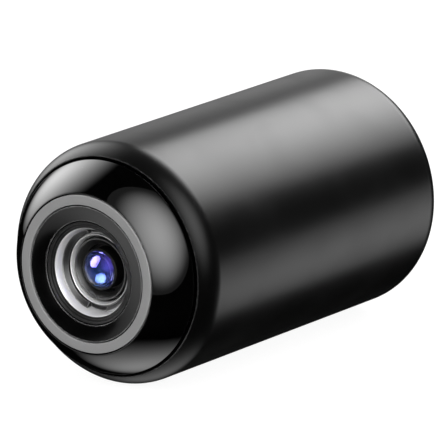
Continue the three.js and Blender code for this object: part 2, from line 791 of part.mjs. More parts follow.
function tactSwitch(depth) {
  const bodyX = boardLeft - ringGap - switchHeight / 2;
  const y = atDepth(depth);
  return join(
    block(switchHeight, switchSize, switchSize, bodyX, y, 0),
    crossRod(switchPlungerRadius, switchFace, bodyX, y, 0, smallSegments),
  );
}

function lightPipe() {
  const y = atDepth(lightPipeDepth);
  const collarX = -Math.sqrt(boreRadius ** 2 - (lightPipeRadius + lightPipeCollar) ** 2) + seatGap;
  return join(
    crossRod(lightPipeRadius, lightPipeRecess - caseRadius, boardLeft - lightPipeStandOff, y, 0,
      smallSegments),
    crossRod(lightPipeRadius + lightPipeCollar, collarX, collarX + lightPipeCollarLength, y, 0,
      smallSegments),
  );
}

// ---------------------------------------------------------------- rear cap and magnet

function rearCap() {
  const plateFront = caseLength - capThickness;
  const bossFront = flangeInnerFace;
  const pocketFloor = caseLength - magnetCover;
  const plateRadius = rearOpening + capLedge - seatGap;
  const cap = turnedSolid([
    [0, caseLength], [plateRadius - capChamfer, caseLength],
    [plateRadius, caseLength - capChamfer],
    [plateRadius, plateFront], [rearOpening - seatGap, plateFront],
    [rearOpening - seatGap, bossFront], [magnetRadius + seatGap, bossFront],
    [magnetRadius + seatGap, pocketFloor], [0, pocketFloor],
  ], ringSegments);
  const holes = screwPlaces().flatMap(([x, z]) => [
    rod(screwShank + seatGap, bossFront - 1, caseLength + 1, x, z, smallSegments),
    rod(screwHead + ringGap, caseLength - screwHeadHeight - seatGap, caseLength + 1, x, z,
      smallSegments),
  ]);
  return cut(cap, ...holes);
}

function rearMagnet() {
  const end = caseLength - magnetCover - seatGap;
  return rod(magnetRadius, end - magnetThickness, end, 0, 0, innerSegments);
}

// ---------------------------------------------------------------- assembly

add('case_shell', caseShell(), 'blackSatin');
add('front_bezel', frontBezel(), 'blackGloss');
add('bezel_seal', bezelSeal(), 'rubber');
add('trim_ring', trimRing(), 'greyTrim');
add('lens_hood', lensHood(), 'blackGloss');

add('lens_barrel', lensBarrel(), 'blackMatte');
add('bore_ring', boreRing(), 'silver');
add('lock_ring', lockRing(), 'darkMetal');
add('retaining_ring', retainingRing(), 'silver');
add('baffle_ring', baffleRing(), 'darkMetal');
add('front_lens', frontLens(), 'coatedGlass');
add('lens_spacer', lensSpacer(), 'blackMatte');
add('middle_lens', lensElement(middleLensFront, middleLensEdge, middleLensRear), 'coatedGlass');
add('rear_lens', lensElement(rearLensFront, rearLensEdge, 0), 'coatedGlass');

add('lens_holder', lensHolder(), 'blackMatte');
const filterY = atDepth(cavityFront + ringGap + filterThickness / 2);
add('ir_cut_filter', block(filterSize, filterThickness, filterSize, 0, filterY, 0), 'coatedGlass');
const sensorY = atDepth(sensorBoardFront - ringGap - sensorThickness / 2);
add('image_sensor', block(sensorWidth, sensorThickness, sensorHeight, 0, sensorY, 0), 'chip');
add('sensor_board', sensorBoard(), 'boardGreen');
const holderScrewTop = holderEnd - earThickness - ringGap - screwHeadHeight;
const holderScrewLength = sensorBoardEnd - holderScrewTop - screwHeadHeight;
for (const [side, x] of [['left', -holderScrewX], ['right', holderScrewX]]) {
  const geometry = screw(x, 0, holderScrewTop, 1, holderScrewHead, holderScrewShank, holderScrewLength);
  add(`holder_screw_${side}`, geometry, 'steel');
}
add('sensor_flex', sensorFlex(), 'gold');

add('lamp_board', lampBoard(), 'boardGreen');
for (let i = 0; i < lampCount; i += 1) add(`lamp_${i + 1}`, lamp(i), 'clearPlastic');

add('inner_chassis', innerChassis(), 'blackMatte');
add('main_board', mainBoard(), 'boardGreen');
add('processor_chip', chip(processorSize, lightPipeDepth - processorLead, chipRow), 'chip');
add('memory_chip', chip(memorySize, usbDepth, chipRow), 'chip');
add('radio_shield', chip(radioShieldSize, modeButtonDepth, -chipRow), 'foil');
add('status_lamp', chip(statusLampSize, lightPipeDepth, 0), 'clearPlastic');
add('microphone', chip(microphoneSize, microphoneDepth, 0), 'foil');
add('battery_cell', batteryCell(), 'foil');

add('usb_shell', usbShell(), 'steel');
add('usb_tongue', usbTongue(), 'blackMatte');
add('card_socket', cardSocket(), 'steel');
add('memory_card', memoryCard(), 'blackMatte');

for (const [name, depth] of [['power', powerButtonDepth], ['mode', modeButtonDepth]]) {
  add(`${name}_button`, button(depth), 'blackMatte');
  add(`${name}_switch`, tactSwitch(depth), 'foil');
}
add('light_pipe', lightPipe(), 'clearPlastic');

add('rear_cap', rearCap(), 'blackMatte');
add('rear_magnet', rearMagnet(), 'steel');
screwPlaces().forEach(([x, z], i) => {
  const geometry = screw(x, z, caseLength - ringGap, -1, screwHead, screwShank, screwLength);
  add(`cap_screw_${i + 1}`, geometry, 'steel');
});

export default dashCamera;
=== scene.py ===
# %% [markdown]
# # A small cylindrical dash camera
# The camera is a satin black tube that lies on its side. A glossy black bezel closes its front, a
# grey ring and a dark hood stand round the lens, and a flat cap with three screws closes the rear.
# The engineering model is loaded first as a fixed frame. Every visible piece is then modelled in
# Blender round it, at the places that the frame gives, and what is never seen keeps the frame's
# own solids with a better finish.

# %% Load the frame
import math
import bmesh
import bpy
from mathutils import Matrix, Vector


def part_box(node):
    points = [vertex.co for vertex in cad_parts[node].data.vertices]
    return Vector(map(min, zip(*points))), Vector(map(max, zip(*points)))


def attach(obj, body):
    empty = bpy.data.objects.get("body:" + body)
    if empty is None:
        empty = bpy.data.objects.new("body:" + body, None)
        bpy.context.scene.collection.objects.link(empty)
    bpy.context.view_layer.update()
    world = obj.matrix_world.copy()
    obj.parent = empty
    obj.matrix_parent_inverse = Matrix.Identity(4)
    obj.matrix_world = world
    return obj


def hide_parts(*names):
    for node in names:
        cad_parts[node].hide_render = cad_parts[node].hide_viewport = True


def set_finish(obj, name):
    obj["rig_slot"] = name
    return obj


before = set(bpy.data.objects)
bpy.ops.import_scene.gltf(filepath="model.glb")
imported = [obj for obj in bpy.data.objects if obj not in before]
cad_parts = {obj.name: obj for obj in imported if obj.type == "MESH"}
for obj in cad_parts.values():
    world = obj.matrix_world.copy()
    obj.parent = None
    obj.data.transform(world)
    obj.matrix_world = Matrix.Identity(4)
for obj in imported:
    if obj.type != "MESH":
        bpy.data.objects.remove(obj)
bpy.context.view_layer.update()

# %% [markdown]
# The outlines below are drawn in millimetres, as on a workshop drawing, while Blender counts in
# metres. The axis of the tube is Y. A depth is measured backwards from the flat face of the grey
# ring, so the two ends of the case give the one number that turns a depth into a place on Y.

# %% Units and depths
MM = 0.001


def corners(node):
    """The lowest and highest corner of a frame node, in millimetres."""
    low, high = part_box(node)
    return low / MM, high / MM


FRONT = corners("trim_ring")[0].y
CASE_LENGTH = corners("case_shell")[1].y - FRONT
CASE_RADIUS = corners("case_shell")[1].x
print(f"case: {CASE_LENGTH:.1f} mm long, {2 * CASE_RADIUS:.1f} mm across")

# %% [markdown]
# ## Camera
# A long lens from the front right and a little above keeps the ends of the tube nearly the same
# size. Its place is found by stepping back from the centre of the front face along the line of
# sight, then a little right and up, so that no lens shift is needed.

# %% Set up the camera
AZIMUTH, ELEVATION = math.radians(36.56), math.radians(15.32)
STEP_BACK, STEP_RIGHT, STEP_UP = 0.7819, 0.01546, 0.00564
LENS, SIGHT = 562.5, 20

to_camera = Vector((math.sin(AZIMUTH) * math.cos(ELEVATION),
                    -math.cos(AZIMUTH) * math.cos(ELEVATION), math.sin(ELEVATION)))
to_right = Vector((math.cos(AZIMUTH), math.sin(AZIMUTH), 0))
to_top = to_camera.cross(to_right)
bpy.ops.object.camera_add()
camera = bpy.context.object
camera.name = "studio_camera"
camera.data.lens = LENS
camera.data.clip_end = SIGHT
stand = (Vector((0, FRONT * MM, 0)) + STEP_BACK * to_camera + STEP_RIGHT * to_right
         + STEP_UP * to_top)
turn = Matrix((to_right, to_top, to_camera)).transposed().to_4x4()
camera.matrix_world = Matrix.Translation(stand) @ turn
bpy.context.scene.camera = camera
print("camera at", [round(v, 3) for v in camera.location])

# %% [markdown]
# ## Modelling helpers
# Almost every piece of this camera is turned: its shape is one outline swept round the axis, as on
# a lathe. The outline could be drawn with a curve and a Screw modifier, but a single vertex that is
# extruded from point to point and then spun leaves a plain mesh at once. Corners are rounded in
# the outline, because a real edge always catches a thin line of light.

# %% Outlines
def arc(radius, depth, size, start, end, steps):
    """Points on a circle in the plane of radius and depth, from one angle to another."""
    angles = [math.radians(start + (end - start) * i / steps) for i in range(steps + 1)]
    return [(radius + size * math.cos(a), depth + size * math.sin(a)) for a in angles]


def bulged(first, last, bulge, steps):
    """A shallow curve between two points, proud of their chord by the bulge at its middle."""
    along = Vector(last) - Vector(first)
    across = Vector((along.y, -along.x)).normalized()
    points = []
    for i in range(steps + 1):
        t = i / steps
        points.append(tuple(Vector(first) + along * t - across * bulge * 4 * t * (1 - t)))
    return points


def softened(outline, radius, closed=True, sharp=25):
    """The outline with each corner sharper than that angle rounded off."""
    result = []
    count = len(outline)
    for i, point in enumerate(outline):
        here = Vector(point)
        if not closed and i in (0, count - 1):
            result.append(point)
            continue
        back, ahead = Vector(outline[i - 1]) - here, Vector(outline[(i + 1) % count]) - here
        if math.degrees((-back).angle(ahead)) < sharp:
            result.append(point)
            continue
        reach = min(radius, 0.4 * back.length, 0.4 * ahead.length)
        start, end = here + back.normalized() * reach, here + ahead.normalized() * reach
        for t in (0, 0.3, 0.7, 1):
            result.append(tuple(start * (1 - t) ** 2 + here * 2 * t * (1 - t) + end * t * t))
    return result


square = [(0, 0), (1, 0), (1, 1), (0, 1)]
print("a square has", len(square), "points, and softened it has", len(softened(square, 0.1)))

# %% [markdown]
# Operators act on whatever is selected, so each helper clears the selection before it adds
# anything. After a spin the first and last copies of the outline lie on each other: they are merged
# and the faces turned outwards, which also closes the pole of a piece that reaches the axis.

# %% Turning a piece
DOUBLES = MM / 1000


def start_fresh():
    """Deselects everything, as an operator acts on all that is selected."""
    bpy.ops.object.select_all(action="DESELECT")


def edit(piece):
    """Into edit mode with the whole mesh selected."""
    bpy.context.view_layer.objects.active = piece
    bpy.ops.object.mode_set(mode="EDIT")
    bpy.ops.mesh.select_all(action="SELECT")


def leave(piece, smooth_angle=35):
    """Back to object mode, shaded smooth up to that angle, with its place in its mesh."""
    bpy.ops.object.mode_set(mode="OBJECT")
    start_fresh()
    piece.select_set(True)
    bpy.context.view_layer.objects.active = piece
    bpy.ops.object.transform_apply(location=True, rotation=True, scale=True)
    bpy.ops.object.shade_smooth_by_angle(angle=math.radians(smooth_angle))
    return piece


def turned(name, outline, steps, closed=True, axis="Y", centre=(0, 0, 0)):
    """A piece spun about an axis from (radius, place on the axis) points in millimetres."""
    start_fresh()
    bpy.ops.mesh.primitive_plane_add(size=MM)
    piece = bpy.context.object
    piece.name = piece.data.name = name
    edit(piece)
    bpy.ops.mesh.merge(type="CENTER")
    at = [Vector((r, a, 0) if axis == "Y" else (a, r, 0)) * MM for r, a in outline]
    bpy.ops.transform.translate(value=at[0])
    for last, point in zip(at, at[1:]):
        bpy.ops.mesh.extrude_vertices_move(TRANSFORM_OT_translate={"value": point - last})
    if closed:
        mesh = bmesh.from_edit_mesh(piece.data)
        mesh.verts.ensure_lookup_table()
        mesh.verts[0].select_set(True)
        mesh.verts[-1].select_set(True)
        bpy.ops.mesh.edge_face_add()
    bpy.ops.mesh.select_all(action="SELECT")
    about = (0, 1, 0) if axis == "Y" else (1, 0, 0)
    bpy.ops.mesh.spin(steps=steps, angle=2 * math.pi, center=(0, 0, 0), axis=about)
    bpy.ops.mesh.select_all(action="SELECT")
    bpy.ops.mesh.remove_doubles(threshold=DOUBLES)
    bpy.ops.mesh.normals_make_consistent(inside=False)
    bpy.ops.transform.translate(value=Vector(centre) * MM)
    leave(piece)
    print(f"{name}: {len(piece.data.polygons)} faces")
    return piece


def at_depths(outline):
    """The outline with its depths behind the grey ring turned into places on Y."""
    return [(radius, FRONT + depth) for radius, depth in outline]


print("depth 0 is at", round(at_depths([(0, 0)])[0][1], 2), "mm on Y")

# %% [markdown]
# Slots, notches and holes are cut with Boolean modifiers. The cutter is a plain bar whose standing
# edges are rounded, or a rod, and it is thrown away once the modifier is applied.

# %% Bars, rods and cuts
PARALLEL = 0.9


def bar(name, low, high, round_axis="Z", corner=0.0, segments=8):
    """A bar between two corners in millimetres, its edges along one axis rounded."""
    start_fresh()
    low, high = Vector(low) * MM, Vector(high) * MM
    bpy.ops.mesh.primitive_cube_add(size=1, location=(low + high) / 2, scale=high - low)
    piece = bpy.context.object
    piece.name = piece.data.name = name
    bpy.ops.object.transform_apply(location=True, rotation=True, scale=True)
    if corner:
        edit(piece)
        bpy.ops.mesh.select_mode(type="EDGE")
        bpy.ops.mesh.select_all(action="DESELECT")
        mesh = bmesh.from_edit_mesh(piece.data)
        along = "XYZ".index(round_axis)
        for line in mesh.edges:
            direction = (line.verts[0].co - line.verts[1].co).normalized()
            line.select_set(abs(direction[along]) > PARALLEL)
        bmesh.update_edit_mesh(piece.data)
        bpy.ops.mesh.bevel(offset=corner * MM, segments=segments, affect="EDGES")
        bpy.ops.mesh.select_mode(type="VERT")
        leave(piece)
    return piece


def rod(name, radius, start, end, axis="Y", vertices=48):
    """A rod between two points in millimetres that differ along the axis only."""
    start_fresh()
    start, end = Vector(start) * MM, Vector(end) * MM
    rotation = (math.pi / 2, 0, 0) if axis == "Y" else (0, math.pi / 2, 0)
    bpy.ops.mesh.primitive_cylinder_add(vertices=vertices, radius=radius * MM,
                                        depth=(end - start).length, location=(start + end) / 2,
                                        rotation=rotation)
    piece = bpy.context.object
    piece.name = name
    bpy.ops.object.transform_apply(location=True, rotation=True, scale=True)
    return piece


def apply_modifier(piece, modifier):
    """Makes what the modifier shows the mesh itself."""
    start_fresh()
    piece.select_set(True)
    bpy.context.view_layer.objects.active = piece
    bpy.ops.object.modifier_apply(modifier=modifier.name)


def combine(piece, tool, operation="DIFFERENCE"):
    """Cuts the tool out of the piece, or joins it on, and throws the tool away."""
    boolean = piece.modifiers.new("boolean", "BOOLEAN")
    boolean.operation = operation
    boolean.solver = "EXACT"
    boolean.object = tool
    apply_modifier(piece, boolean)
    bpy.data.objects.remove(tool)
    return piece


def bevelled(piece, width, segments=2, angle=40):
    """The piece with every edge sharper than that angle bevelled."""
    bevel = piece.modifiers.new("bevel", "BEVEL")
    bevel.width = width * MM
    bevel.segments = segments
    bevel.limit_method = "ANGLE"
    bevel.angle_limit = math.radians(angle)
    apply_modifier(piece, bevel)
    return leave(piece)


def placed(piece, body, slot, *nodes):
    """Fits a finished piece to the frame: what it moves with, its finish and what it stands for."""
    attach(piece, body)
    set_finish(piece, slot)
    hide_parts(*nodes)
    return piece


print("helpers ready for bars, rods, cuts, joins and bevels")

# %% [markdown]
# ## Case
# The case is one moulded or turned tube. Its rear edge is well rounded, and its front rim curls in
# through a larger radius to the seam with the bezel. Long narrow faces would shade badly round the
# holes, so the outline is spun in many fine steps before anything is cut.

# %% Model the case
SIDE_START, REAR_ROUND, RIM_ROUND, RIM_SWEEP = 6.65, 3.0, 3.56, 50.6
BORE, CAP_SEAT, CAP_OPENING = 12.0, 9.4, 10.4
SEAT_FRONT, SEAT_REAR = 48, 49
CASE_STEPS = 240

rim = arc(CASE_RADIUS - RIM_ROUND, SIDE_START, RIM_ROUND, 0, -RIM_SWEEP, 16)
seam_radius, seam_depth = rim[-1]
outline = (arc(CASE_RADIUS - REAR_ROUND, CASE_LENGTH - REAR_ROUND, REAR_ROUND, 90, 0, 14) + rim
           + [(BORE, seam_depth + seam_radius - BORE), (BORE, SEAT_FRONT), (CAP_SEAT, SEAT_FRONT),
              (CAP_SEAT, SEAT_REAR), (CAP_OPENING, SEAT_REAR), (CAP_OPENING, CASE_LENGTH)])
case = turned("case", at_depths(softened(outline, 0.12)), CASE_STEPS)

# %% [markdown]
# The sockets open on the underside and the controls on the left. Each opening follows the piece
# that comes through it, with the small gap that the frame leaves, so its size is read from there.

# %% Cut the openings
GAP = 0.3
PAST, THROUGH = -(CASE_RADIUS + 1), -(BORE - 1)
INLET_CORNER, CARD_CORNER = 1.92, 0.4
BUTTON_HOLE, PIPE_HOLE, MICROPHONE_HOLE = 2.7, 1.1, 0.6
MICROPHONE_BEHIND = 14

for node, corner in (("usb_shell", INLET_CORNER), ("memory_card", CARD_CORNER)):
    low, high = corners(node)
    slot = bar("slot", (low.x - GAP, low.y - GAP, PAST), (high.x + GAP, high.y + GAP, THROUGH),
               corner=corner)
    combine(case, slot)
button_centres = {}
for node in ("power_button", "mode_button"):
    low, high = corners(node)
    button_centres[node] = (low.y + high.y) / 2
pipe_centre = sum(button_centres.values()) / 2
holes = [(BUTTON_HOLE, y) for y in button_centres.values()]
holes += [(PIPE_HOLE, pipe_centre),
          (MICROPHONE_HOLE, button_centres["power_button"] - MICROPHONE_BEHIND)]
for radius, y in holes:
    combine(case, rod("hole", radius, (PAST, y, 0), (THROUGH, y, 0), axis="X"))
leave(case, 40)
placed(case, "camera", "case_satin", "case_shell")
print("case:", len(case.data.polygons), "faces after", 2 + len(holes), "cuts")

# %% [markdown]
# ## Bezel, grey ring and hood
# The bezel is a low glossy dome that seats on a cone inside the rim, a little below it, so that a
# thin dark seam runs between the two. The flat grey ring drops into a shelf in the bezel, and the
# hood's polished cone leads from that ring in to the lens.

# %% Model the front
SINK, BULGE, BEZEL_WALL = 0.2, 0.36, 1.2
RING_SEAT, HOOD_SEAT, SHELF_DEPTH, SHELF_BACK = 9.23, 7.875, 1.15, 2.35
RING_INNER, RING_OUTER, RING_THICK = 7.95, 9.08, 1
FRONT_STEPS = 160

bezel_edge = (seam_radius - GAP, seam_depth - SINK)
skirt = BORE - GAP
skirt_front = bezel_edge[1] + bezel_edge[0] - skirt
skirt_back = skirt_front + 2.5
outline = bulged(bezel_edge, (RING_SEAT, 0), BULGE, 18) + [
    (RING_SEAT, SHELF_DEPTH), (HOOD_SEAT, SHELF_DEPTH), (HOOD_SEAT, SHELF_BACK),
    (9.63, SHELF_BACK), (skirt - BEZEL_WALL, skirt_front + SINK),
    (skirt - BEZEL_WALL, skirt_back), (skirt, skirt_back), (skirt, skirt_front)]
bezel = turned("bezel", at_depths(softened(outline, 0.1)), 192)
placed(bezel, "camera", "bezel_gloss", "front_bezel")

outline = [(RING_INNER, 0), (RING_OUTER, 0), (RING_OUTER, RING_THICK), (RING_INNER, RING_THICK)]
trim = turned("grey_ring", at_depths(softened(outline, 0.07)), FRONT_STEPS)
placed(trim, "camera", "trim_grey", "trim_ring")

outline = [(6.0, 0.56), (7.8, 0.05), (7.8, 1), (7.3, 1), (7.3, 5.5), (6.25, 5.5), (6.25, 1),
           (6.0, 1)]
hood = turned("hood", at_depths(softened(outline, 0.05)), FRONT_STEPS)
placed(hood, "camera", "bezel_gloss", "lens_hood")

# %% [markdown]
# ## Lens barrel and its rings
# Inside the hood sits a small screw-in lens. Its blackened barrel has a sloping lip with a fine
# groove, and a bright bore ring lines it. Below that come the lock ring with two spanner notches,
# the polished retaining ring and a dark baffle that frames the glass. Each is an outline like the
# others, so they are drawn one after another from the front to the back, and one small rounding
# does for nearly all of them.

# %% Model the lens rings
FINE_ROUND, RING_STEPS = 0.03, 144
NOTCH_HALF, NOTCH_FRONT, NOTCH_BACK, NOTCH_REACH = 1.3, 1.4, 2.75, 5.2

outline = [(5.85, 0.62), (5.7, 0.7), (5.67, 0.76), (5.62, 0.76), (5.58, 0.75), (5.4, 0.84),
           (5.38, 0.88), (5.34, 0.88), (5.32, 0.87), (5.1, 0.97), (5.13, 1.0), (5.35, 1.0),
           (5.35, 3.3), (4.815, 3.3), (4.815, 12.3), (3.4, 12.3), (3.4, 14), (5.85, 14)]
barrel = turned("barrel", at_depths(softened(outline, FINE_ROUND)), RING_STEPS)
placed(barrel, "camera", "barrel_black", "lens_barrel")

outline = [(5.075, 1.02), (5.275, 1.02), (5.275, 3.15), (4.765, 3.15), (4.765, 1.79)]
bore = turned("bore_liner", at_depths(softened(outline, 0.04)), RING_STEPS)
placed(bore, "camera", "bare_metal", "bore_ring")

outline = [(4.74, 1.85), (4.74, 2.9), (4.225, 2.9), (4.225, 2.35)]
lock = turned("spanner_ring", at_depths(softened(outline, FINE_ROUND)), RING_STEPS)
notch = bar("notch", (-NOTCH_HALF, FRONT + NOTCH_FRONT, -NOTCH_REACH),
            (NOTCH_HALF, FRONT + NOTCH_BACK, NOTCH_REACH))
combine(lock, notch)
leave(lock, 30)
placed(lock, "camera", "dark_metal", "lock_ring")

outline = [(4.075, 2.45), (4.075, 3.05), (4.59, 3.05), (4.59, 3.55), (3.795, 3.55), (3.795, 3.05),
           (3.995, 2.45)]
keeper = turned("keeper_ring", at_depths(softened(outline, FINE_ROUND)), 128)
placed(keeper, "camera", "bare_metal", "retaining_ring")

outline = [(3.54, 2.66), (3.54, 3.7), (4.665, 3.7), (4.665, 4.1), (2.78, 4.1), (2.78, 3.44),
           (3.44, 2.66)]
baffle = turned("baffle", at_depths(softened(outline, FINE_ROUND)), 128)
placed(baffle, "camera", "dark_metal", "baffle_ring")

# %% [markdown]
# The front element stands in a small black cell. It is domed on both sides, and its rear surface is
# coated: light goes through the dome, turns back at that bowl and comes out again, which gives a
# lens its second, mirrored highlight. The coating is a piece of its own, let into the glass by a
# hair so that no air lies between them. Two fine steps near the rim of the bowl are the edges of
# the elements further in.

# %% Model the front element
GLASS_RADIUS, DOME_EDGE, DOME_RISE = 2.14, 2.45, 1.05
BOWL_RADIUS, BOWL_EDGE, BOWL_FALL = 1.98, 2.75, 0.42
CELL_RADIUS, SKIN = 2.38, 0.03
ELEMENT_EDGES, ELEMENT_STEP = (1.58, 1.82), 0.04
GLASS_STEPS, CAP_STEPS = 96, 16


def cap_curve(edge_radius, edge_depth, rise, steps):
    """Points of a spherical cap from the axis out to its edge, a positive rise being forwards."""
    sphere = (edge_radius ** 2 + rise ** 2) / (2 * abs(rise))
    sign = math.copysign(1, rise)
    points = []
    for i in range(steps + 1):
        radius = edge_radius * i / steps
        height = math.sqrt(sphere ** 2 - radius ** 2) - (sphere - abs(rise))
        points.append((radius, edge_depth - sign * height))
    return points


front = cap_curve(GLASS_RADIUS - 0.1, DOME_EDGE - 0.06, DOME_RISE, CAP_STEPS)
rear = cap_curve(BOWL_RADIUS, BOWL_EDGE, -BOWL_FALL, CAP_STEPS)
outline = front + [(GLASS_RADIUS, DOME_EDGE), (GLASS_RADIUS, BOWL_EDGE)] + rear[::-1]
glass = turned("front_glass", at_depths(softened(outline, FINE_ROUND, closed=False)),
               GLASS_STEPS, closed=False)
placed(glass, "camera", "coated_glass", "front_lens")

stepped = [(radius, depth - SKIN - ELEMENT_STEP * sum(radius > edge for edge in ELEMENT_EDGES))
           for radius, depth in rear]
outline = stepped + [(GLASS_RADIUS - SKIN, BOWL_EDGE), (GLASS_RADIUS - SKIN, 3.6), (0, 3.65)]
bowl = turned("coated_bowl", at_depths(softened(outline, FINE_ROUND, closed=False)),
              GLASS_STEPS, closed=False)
placed(bowl, "camera", "coated_glass")

outline = [(GLASS_RADIUS + SKIN, DOME_EDGE + 0.02), (CELL_RADIUS, DOME_EDGE + 0.1),
           (CELL_RADIUS, 4.25), (4.6, 4.25), (4.6, 5.1), (0, 5.1), (0, 3.7),
           (GLASS_RADIUS + SKIN, 3.7)]
cell = turned("lens_cell", at_depths(softened(outline, FINE_ROUND)), GLASS_STEPS)
placed(cell, "camera", "barrel_black")

# %% [markdown]
# ## Rear cap
# A thin cap lies flush in the rear of the case and hides the magnet that holds the camera. It has a
# shallow ring groove, and three countersunk holes for its screws. The holes are cut before the
# screws are made, at the places where the frame has them.

# %% Model the cap
CAP_RADIUS, SPIGOT, MAGNET_WELL = 10.1, 9.1, 6.3
CAP_BACK, GROOVE_DEPTH, SINK_DEPTH, HOLE_DEPTH = 49.3, 49.88, 49.1, 47.5
SHANK_HOLE, HEAD_HOLE = 1.0, 1.65

outline = [(0, CASE_LENGTH), (5.9, CASE_LENGTH), (6.0, GROOVE_DEPTH), (6.3, GROOVE_DEPTH),
           (6.4, CASE_LENGTH), (CAP_RADIUS, CASE_LENGTH), (CAP_RADIUS, CAP_BACK),
           (SPIGOT, CAP_BACK), (SPIGOT, SEAT_FRONT), (MAGNET_WELL, SEAT_FRONT),
           (MAGNET_WELL, SINK_DEPTH), (0, SINK_DEPTH)]
cap = turned("rear_plate", at_depths(softened(outline, 0.1, closed=False)), 144, closed=False)
screw_places = []
for number in (1, 2, 3):
    low, high = corners(f"cap_screw_{number}")
    centre = (low + high) / 2
    screw_places.append((centre.x, centre.z))
for x, z in screw_places:
    for radius, depth in ((SHANK_HOLE, HOLE_DEPTH), (HEAD_HOLE, SINK_DEPTH)):
        tool = rod("sink", radius, (x, FRONT + depth, z), (x, FRONT + CASE_LENGTH + 1, z))
        combine(cap, tool)
leave(cap, 40)
placed(cap, "camera", "cap_matte", "rear_cap")

# %% [markdown]
# One screw is modelled on the axis of the tube, with a slightly domed head and a cross recess that
# two bars cut, and copied. A linked copy would share its mesh, and its place has to be in its mesh,
# so each copy gets a mesh of its own and is then moved to its hole.

# %% Model the screws
HEAD_TOP = corners("cap_screw_1")[1].y
HEAD_RADIUS, SHANK_RADIUS, HEAD_THICK, SHANK_END = 1.5, 0.7, 0.6, 5
SLOT_LONG, SLOT_THIN, SLOT_DEEP = 0.85, 0.16, 0.42

outline = [(0, HEAD_TOP), (0.9, HEAD_TOP - 0.04), (HEAD_RADIUS, HEAD_TOP - 0.2),
           (HEAD_RADIUS, HEAD_TOP - HEAD_THICK), (SHANK_RADIUS, HEAD_TOP - HEAD_THICK),
           (SHANK_RADIUS, HEAD_TOP - SHANK_END), (0, HEAD_TOP - SHANK_END - 0.2)]
screw = turned("rear_screw_1", softened(outline, 0.05, closed=False), 48, closed=False)
for half_x, half_z in ((SLOT_LONG, SLOT_THIN), (SLOT_THIN, SLOT_LONG)):
    blade = bar("blade", (-half_x, HEAD_TOP - SLOT_DEEP, -half_z),
                (half_x, HEAD_TOP + 0.5, half_z))
    combine(screw, blade)
leave(screw)
screws = [screw]
for number in range(2, len(screw_places) + 1):
    piece = screw.copy()
    piece.data = screw.data.copy()
    bpy.context.scene.collection.objects.link(piece)
    piece.name = f"rear_screw_{number}"
    screws.append(piece)
for number, (piece, (x, z)) in enumerate(zip(screws, screw_places), 1):
    piece.location = (x * MM, 0, z * MM)
    start_fresh()
    piece.select_set(True)
    bpy.context.view_layer.objects.active = piece
    bpy.ops.object.transform_apply(location=True, rotation=True, scale=True)
    placed(piece, "camera", "screw_steel", f"cap_screw_{number}")
print("screws at", [(round(x, 1), round(z, 1)) for x, z in screw_places])

# %% [markdown]
# ## Buttons and light pipe
# Two round buttons stand a hair proud of the left side, each dished for a fingertip, with a flange
# that keeps it in the case and a stem that reaches its switch. The two are alike but ride on their
# own bodies. Between them a small clear pipe carries the light of the status lamp.

# %% Model the buttons
BUTTON_RADIUS, FLANGE_RADIUS, STEM_RADIUS = 2.4, 3.1, 1.0
FLANGE_FRONT, FLANGE_BACK = 2.5, 3.2
PIPE_RADIUS = 0.8

for node, y in button_centres.items():
    low, high = corners(node)
    face = low.x
    outline = [(0, face + 0.16), (1.1, face + 0.12), (1.75, face + 0.03), (2.05, face),
               (2.3, face + 0.08), (BUTTON_RADIUS, face + 0.3),
               (BUTTON_RADIUS, face + FLANGE_FRONT), (FLANGE_RADIUS, face + FLANGE_FRONT),
               (FLANGE_RADIUS, face + FLANGE_BACK), (STEM_RADIUS, face + FLANGE_BACK),
               (STEM_RADIUS, high.x), (0, high.x)]
    button = turned(node + "_cap", softened(outline, 0.08, closed=False), 64, closed=False,
                    axis="X", centre=(0, y, 0))
    placed(button, node, "button_black", node)
low, high = corners("light_pipe")
outline = [(0, low.x), (0.62, low.x + 0.05), (PIPE_RADIUS, low.x + 0.22),
           (PIPE_RADIUS, high.x), (0, high.x)]
pipe = turned("status_pipe", softened(outline, 0.05, closed=False), 40, closed=False, axis="X",
              centre=(0, pipe_centre, 0))
placed(pipe, "camera", "clear_plastic", "light_pipe")

# %% [markdown]
# ## Sockets and card
# The USB-C inlet is a drawn steel shell with a tongue that carries twelve gold contacts on each
# face. The shell is a rounded bar with a smaller one cut out of it, and a contact is modelled once
# and repeated with an Array modifier.

# %% Model the inlet
SHELL_ROUND, SHELL_WALL, BASE_ROUND, BASE_THICK = 1.62, 0.3, 1.02, 1.5
TONGUE_THICK, TONGUE_WIDE = 0.7, 6.7

low, high = corners("usb_shell")
shell = bar("usb_inlet", low, high, corner=SHELL_ROUND, segments=12)
opening = bar("opening", (low.x + SHELL_WALL, low.y + SHELL_WALL, low.z - 1),
              (high.x - SHELL_WALL, high.y - SHELL_WALL, high.z - SHELL_WALL),
              corner=1.32, segments=12)
combine(shell, opening)
bevelled(shell, 0.06)
placed(shell, "camera", "bare_metal", "usb_shell")

low, high = corners("usb_tongue")
middle = (low.y + high.y) / 2
tongue = bar("usb_tongue_body", (-TONGUE_THICK / 2, middle - TONGUE_WIDE / 2, low.z),
             (TONGUE_THICK / 2, middle + TONGUE_WIDE / 2, high.z))
base = bar("base", (low.x, low.y, high.z - BASE_THICK), high, corner=BASE_ROUND)
combine(tongue, base, "UNION")
bevelled(tongue, 0.08)
placed(tongue, "camera", "inner_plastic", "usb_tongue")


def contacts(name, first, size, pitch, count):
    """A row of gold contacts along Y: one bevelled bar, repeated and applied."""
    row = bar(name, first, Vector(first) + Vector(size))
    bevelled(row, 0.02, segments=1)
    array = row.modifiers.new("array", "ARRAY")
    array.count = count
    array.use_relative_offset = False
    array.use_constant_offset = True
    array.constant_offset_displace = (0, pitch * MM, 0)
    apply_modifier(row, array)
    return row


